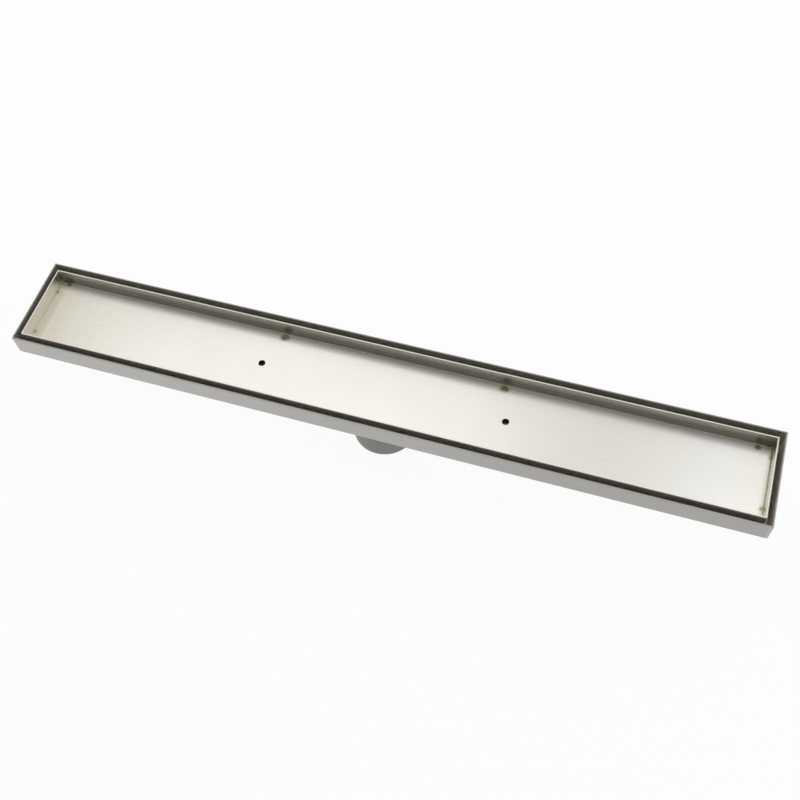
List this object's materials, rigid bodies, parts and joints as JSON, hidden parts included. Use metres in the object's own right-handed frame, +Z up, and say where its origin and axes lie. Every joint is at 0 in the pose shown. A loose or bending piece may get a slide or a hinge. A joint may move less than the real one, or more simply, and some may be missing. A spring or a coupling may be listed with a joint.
{
  "type": "linear shower drain",
  "caption": "Long low shower drain channel with a flush lift-out tray for tile, a drain slot all round the tray and a round outlet spigot below.",
  "frame": {"origin": "centre of the outlet spigot's lower end", "axes": "+X along the channel, +Y across it, +Z up to the open rim"},
  "size_m": [0.8, 0.104, 0.093],
  "materials": {
    "channel_steel": "brushed",
    "spigot_steel": "matt, mill finish",
    "tray_steel": "brushed",
    "foot_steel": "mill finish"
  },
  "bodies": {
    "root": {"channel": "channel_steel", "outlet_spigot": "spigot_steel", "tile_tray": "tray_steel", "corner_foot_1": "foot_steel", "corner_foot_2": "foot_steel", "corner_foot_3": "foot_steel", "corner_foot_4": "foot_steel", "side_foot_1": "foot_steel", "side_foot_2": "foot_steel", "side_foot_3": "foot_steel", "side_foot_4": "foot_steel"}
  },
  "joints": []
}
